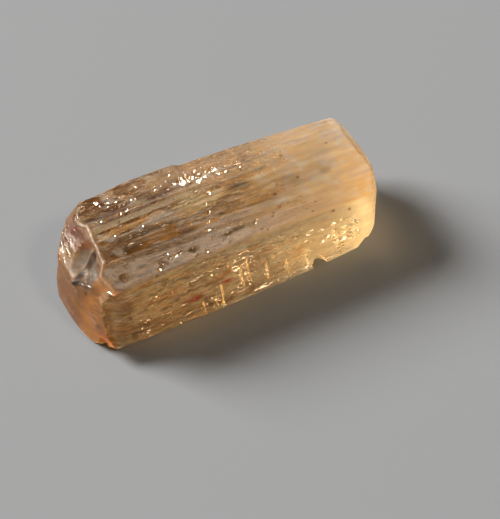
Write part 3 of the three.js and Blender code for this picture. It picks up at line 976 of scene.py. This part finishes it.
def reliefTree():
    tree = bpy.data.node_groups.new("growthRelief", "GeometryNodeTree")
    sockets = tree.interface
    sockets.new_socket("Geometry", in_out="INPUT", socket_type="NodeSocketGeometry")
    for name in relief:
        kind = "NodeSocketInt" if name == "Seed" else "NodeSocketFloat"
        sockets.new_socket(name, in_out="INPUT", socket_type=kind)
    sockets.new_socket("Material", in_out="INPUT", socket_type="NodeSocketMaterial")
    sockets.new_socket("Geometry", in_out="OUTPUT", socket_type="NodeSocketGeometry")
    given = tree.nodes.new("NodeGroupInput").outputs
    split = tree.nodes.new("ShaderNodeSeparateXYZ")
    link(tree, attribute(tree, "growth", "FLOAT_VECTOR"), split.inputs[0])
    seed = given["Seed"]

    # flat strands of uneven depth, long in the prism's direction
    def strands(width, length, depth, offset):
        along, across = (mathNode(tree, "DIVIDE", place, given[size])
                         for place, size in zip(split.outputs, (length, width)))
        place = combine(tree, along, across, plus(tree, seed, offset))
        cells = tree.nodes.new("ShaderNodeTexVoronoi")
        cells.voronoi_dimensions = "3D"
        cells.distance = "CHEBYCHEV"
        cells.inputs["Scale"].default_value = 1
        cells.inputs["Randomness"].default_value = 0.9
        link(tree, place, cells.inputs["Vector"])
        value = tree.nodes.new("ShaderNodeSeparateXYZ")
        link(tree, cells.outputs["Color"], value.inputs[0])
        return times(tree, value.outputs[0], given[depth])

    def cloud(size, depth, offset):
        noise = tree.nodes.new("ShaderNodeTexNoise")
        noise.noise_dimensions = "4D"
        noise.inputs["Detail"].default_value = 2
        noise.inputs["Roughness"].default_value = 0.55
        link(tree, tree.nodes.new("GeometryNodeInputPosition").outputs[0], noise.inputs["Vector"])
        link(tree, mathNode(tree, "DIVIDE", 1 / mm, given[size]), noise.inputs["Scale"])
        link(tree, plus(tree, seed, offset), noise.inputs["W"])
        return times(tree, noise.outputs[0], given[depth])

    lamellae = strands("Lamella Width", "Lamella Length", "Lamella Depth", 0.37)
    striae = strands("Stria Width", "Stria Length", "Stria Depth", 4.61)
    steps = times(tree, plus(tree, lamellae, striae), attribute(tree, "stria"))
    broken = plus(tree, cloud("Break Size", "Break Depth", 0.5), cloud("Hackle Size", "Hackle Depth", 7.5))
    broken = times(tree, broken, attribute(tree, "broken"))
    worn = times(tree, cloud("Wear Size", "Wear Depth", 2.5), attribute(tree, "worn"))
    depth = plus(tree, plus(tree, steps, broken), worn)
    inward = attribute(tree, "inward", "FLOAT_VECTOR")
    offset = scaled(tree, inward, times(tree, depth, mm))
    move = tree.nodes.new("GeometryNodeSetPosition")
    realize = tree.nodes.new("GeometryNodeRealizeInstances")
    dress = tree.nodes.new("GeometryNodeSetMaterial")
    link(tree, given["Geometry"], move.inputs["Geometry"])
    link(tree, offset, move.inputs["Offset"])
    link(tree, move.outputs[0], realize.inputs[0])
    link(tree, realize.outputs[0], dress.inputs["Geometry"])
    link(tree, given["Material"], dress.inputs["Material"])
    link(tree, dress.outputs[0], tree.nodes.new("NodeGroupOutput").inputs[0])
    return tree


def carveRelief(data, material):
    blank = bpy.data.objects.new("topazBlank", data)
    bpy.context.scene.collection.objects.link(blank)
    tree = reliefTree()
    modifier = blank.modifiers.new("growthRelief", "NODES")
    modifier.node_group = tree
    sockets = {s.name: s.identifier for s in tree.interface.items_tree if s.in_out == "INPUT"}
    for name, value in relief.items():
        modifier[sockets[name]] = value
    modifier[sockets["Material"]] = material
    ready = blank.evaluated_get(bpy.context.evaluated_depsgraph_get())
    carved = bpy.data.meshes.new_from_object(ready)
    bpy.data.objects.remove(blank)
    carved.name = "topazCrystal"
    for name in ("stria", "broken", "worn", "inward"):
        carved.attributes.remove(carved.attributes[name])
    carved.shade_smooth()
    carved.set_sharp_from_angle(angle=math.radians(sharpFrom))
    return carved


topaz = {
    "ior": 1.62,
    "transmission": 0.9,
    "specular": 0.15,
    "specularTint": (1, 0.88, 0.74),
    "absorption": (0.95, 0.72, 0.2),
    "density": 115,  # per metre
    # sizes of the patterns in mm, along and across the growth
    "blotchSize": (2.4, 0.5),
    "blotchShade": (0.3, 0.7, 0.82, 1.1),  # noise from and to, shade there
    "dashSize": (0.5, 0.075),
    "dashShade": (0.32, 0.6, -0.42, 0.22),
    "patchSize": (0.9, 0.3),
    "patchFrost": (0.3, 0.7, 0.7, 1.3),
    "hacklePatchSize": (1.3, 0.4),
    "hacklePatches": (0.5, 0.6),
    "hackleKeeps": 0.3,  # share of the frost where it is hackly
    # bumps of the surface in mm
    "grainSize": (1.5, 0.1),
    "grainHeight": 0.022,
    "beadSize": (0.32, 0.12),
    "beadHeight": 0.014,
    "hackleSize": (0.24, 0.17),
    "hackleHeight": 0.1,
    "powderSize": (0.2, 0.14),
    "powderHeight": 0.04,
}


def topazMaterial():
    material = bpy.data.materials.new("clearTopaz")
    material.use_nodes = True
    tree = material.node_tree
    shader = tree.nodes["Principled BSDF"]
    shader.inputs["IOR"].default_value = topaz["ior"]
    shader.inputs["Transmission Weight"].default_value = topaz["transmission"]
    shader.inputs["Specular IOR Level"].default_value = topaz["specular"]
    shader.inputs["Specular Tint"].default_value = (*topaz["specularTint"], 1)
    volume = tree.nodes.new("ShaderNodeVolumeAbsorption")
    volume.inputs["Color"].default_value = (*topaz["absorption"], 1)
    volume.inputs["Density"].default_value = topaz["density"]
    link(tree, volume.outputs[0], tree.nodes["Material Output"].inputs["Volume"])

    def painted(name):
        node = tree.nodes.new("ShaderNodeAttribute")
        node.attribute_name = name
        return node.outputs["Vector" if name in ("growth", "tint") else "Fac"]

    # the growth direction runs along the prism, so patterns are drawn out along it
    def stretched(size):
        node = tree.nodes.new("ShaderNodeVectorMath")
        node.operation = "DIVIDE"
        link(tree, painted("growth"), node.inputs[0])
        node.inputs[1].default_value = (*size, 1)
        return node.outputs[0]

    def noise(size, detail=2, rough=0.5):
        node = tree.nodes.new("ShaderNodeTexNoise")
        node.inputs["Scale"].default_value = 1
        node.inputs["Detail"].default_value = detail
        node.inputs["Roughness"].default_value = rough
        link(tree, stretched(size), node.inputs["Vector"])
        return node.outputs[0]

    def ramp(value, low, high, least=0, most=1):
        node = tree.nodes.new("ShaderNodeMapRange")
        node.interpolation_type = "SMOOTHSTEP"
        for name, number in (("From Min", low), ("From Max", high), ("To Min", least), ("To Max", most)):
            node.inputs[name].default_value = number
        link(tree, value, node.inputs["Value"])
        return node.outputs[0]

    blotch = ramp(noise(topaz["blotchSize"], 1), *topaz["blotchShade"])
    dash = ramp(noise(topaz["dashSize"], rough=0.6), *topaz["dashShade"])
    dash = plus(tree, times(tree, dash, painted("grain")), 1)
    shade = times(tree, blotch, dash)
    link(tree, scaled(tree, painted("tint"), shade), shader.inputs["Base Color"])

    patchy = ramp(noise(topaz["patchSize"], 3), *topaz["patchFrost"])
    where = ramp(noise(topaz["hacklePatchSize"]), *topaz["hacklePatches"])
    where = times(tree, where, painted("hackle"))
    smoother = times(tree, where, 1 - topaz["hackleKeeps"])
    rough = times(tree, painted("frost"), patchy)
    rough = times(tree, rough, mathNode(tree, "SUBTRACT", 1, smoother))
    link(tree, rough, shader.inputs["Roughness"])

    grain = times(tree, noise(topaz["grainSize"], 1), topaz["grainHeight"] * mm)
    bead = times(tree, noise(topaz["beadSize"], 1), topaz["beadHeight"] * mm)
    grain = times(tree, plus(tree, grain, bead), painted("grain"))
    cells = tree.nodes.new("ShaderNodeTexVoronoi")
    cells.inputs["Scale"].default_value = 1
    link(tree, stretched(topaz["hackleSize"]), cells.inputs["Vector"])
    hackle = times(tree, cells.outputs["Distance"], topaz["hackleHeight"] * mm)
    height = plus(tree, grain, times(tree, hackle, where))
    powder = times(tree, noise(topaz["powderSize"]), topaz["powderHeight"] * mm)
    height = plus(tree, height, times(tree, powder, painted("frost")))
    bump = tree.nodes.new("ShaderNodeBump")
    bump.inputs["Strength"].default_value = 1
    bump.inputs["Distance"].default_value = 1
    link(tree, height, bump.inputs["Height"])
    link(tree, bump.outputs[0], shader.inputs["Normal"])
    return material


studio = {
    "azimuth": -26.7,  # degrees from the crystal's front
    "elevation": 48,
    "distance": 130,  # mm
    "target": (0.85, -2.97, 2.03),  # mm, what the camera looks at
    "pixelsPerMm": 14,
    "pictureHeight": 519,
    "sensor": 36,
    "floorSize": 900,
    "floorGap": 0.02,  # the air under a face that lies flat
    "floorColour": (0.176, 0.184, 0.194),
    "floorRoughness": 0.9,
    "floorSpecular": 0.2,
    "roomColour": (0.9, 0.95, 1.0),
    "roomStrength": 0.035,
    "bounces": 16,
}
# square lights, in metres and watts
lights = {
    "windowLight": {"towards": (-0.53, 0.65, 0.5), "distance": 2, "size": 0.85, "power": 143,
                    "colour": (1.0, 0.97, 0.93)},
    "skyLight": {"towards": (0.3, 0.28, 0.91), "distance": 2, "size": 0.6, "power": 2.6,
                 "colour": (1.0, 0.97, 0.94)},
    "fillLight": {"towards": (0.32, -0.56, 0.76), "distance": 2, "size": 0.38, "power": 13,
                  "colour": (1.0, 0.87, 0.7)},
}


def floorMaterial():
    material = bpy.data.materials.new("paleFloor")
    material.use_nodes = True
    shader = material.node_tree.nodes["Principled BSDF"]
    shader.inputs["Base Color"].default_value = (*studio["floorColour"], 1)
    shader.inputs["Roughness"].default_value = studio["floorRoughness"]
    shader.inputs["Specular IOR Level"].default_value = studio["floorSpecular"]
    return material


def makeFloor():
    half, below = studio["floorSize"] / 2 * mm, -studio["floorGap"] * mm
    corners = [(x * half, y * half, below) for x, y in ((-1, -1), (1, -1), (1, 1), (-1, 1))]
    data = bpy.data.meshes.new("floor")
    data.from_pydata(corners, [], [(0, 1, 2, 3)])
    data.materials.append(floorMaterial())
    floor = bpy.data.objects.new("floor", data)
    bpy.context.scene.collection.objects.link(floor)


def makeCamera():
    a, e = math.radians(studio["azimuth"]), math.radians(studio["elevation"])
    back = Vector((math.sin(a) * math.cos(e), -math.cos(a) * math.cos(e), math.sin(e)))
    data = bpy.data.cameras.new("camera")
    data.sensor_width = studio["sensor"]
    data.lens = studio["pixelsPerMm"] * studio["distance"] / studio["pictureHeight"] * studio["sensor"]
    data.clip_start, data.clip_end = 0.01, 10
    camera = bpy.data.objects.new("camera", data)
    camera.location = Vector(studio["target"]) * mm + back * studio["distance"] * mm
    camera.rotation_euler = (-back).to_track_quat("-Z", "Y").to_euler()
    bpy.context.scene.collection.objects.link(camera)
    bpy.context.scene.camera = camera


def areaLight(name, facts):
    data = bpy.data.lights.new(name, "AREA")
    data.shape = "SQUARE"
    data.size = facts["size"]
    data.energy = facts["power"]
    data.color = facts["colour"]
    light = bpy.data.objects.new(name, data)
    towards = Vector(facts["towards"]).normalized()
    light.location = towards * facts["distance"]
    light.rotation_euler = (-towards).to_track_quat("-Z", "Y").to_euler()
    bpy.context.scene.collection.objects.link(light)


def makeLight():
    for name, facts in lights.items():
        areaLight(name, facts)
    world = bpy.data.worlds.new("studio")
    world.use_nodes = True
    sky = world.node_tree.nodes["Background"]
    sky.inputs["Color"].default_value = (*studio["roomColour"], 1)
    sky.inputs["Strength"].default_value = studio["roomStrength"]
    scene = bpy.context.scene
    scene.world = world
    scene.view_settings.view_transform = "Standard"
    scene.cycles.max_bounces = studio["bounces"]
    scene.cycles.transmission_bounces = studio["bounces"]


makeCamera()
makeFloor()
makeLight()
print("studio ready")

crystal = bpy.data.objects.new("topazCrystal", carveRelief(crystalMesh(), topazMaterial()))
bpy.context.scene.collection.objects.link(crystal)
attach(crystal, "root")
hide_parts("topaz_crystal")
print("crystal ready:", len(crystal.data.polygons), "faces")
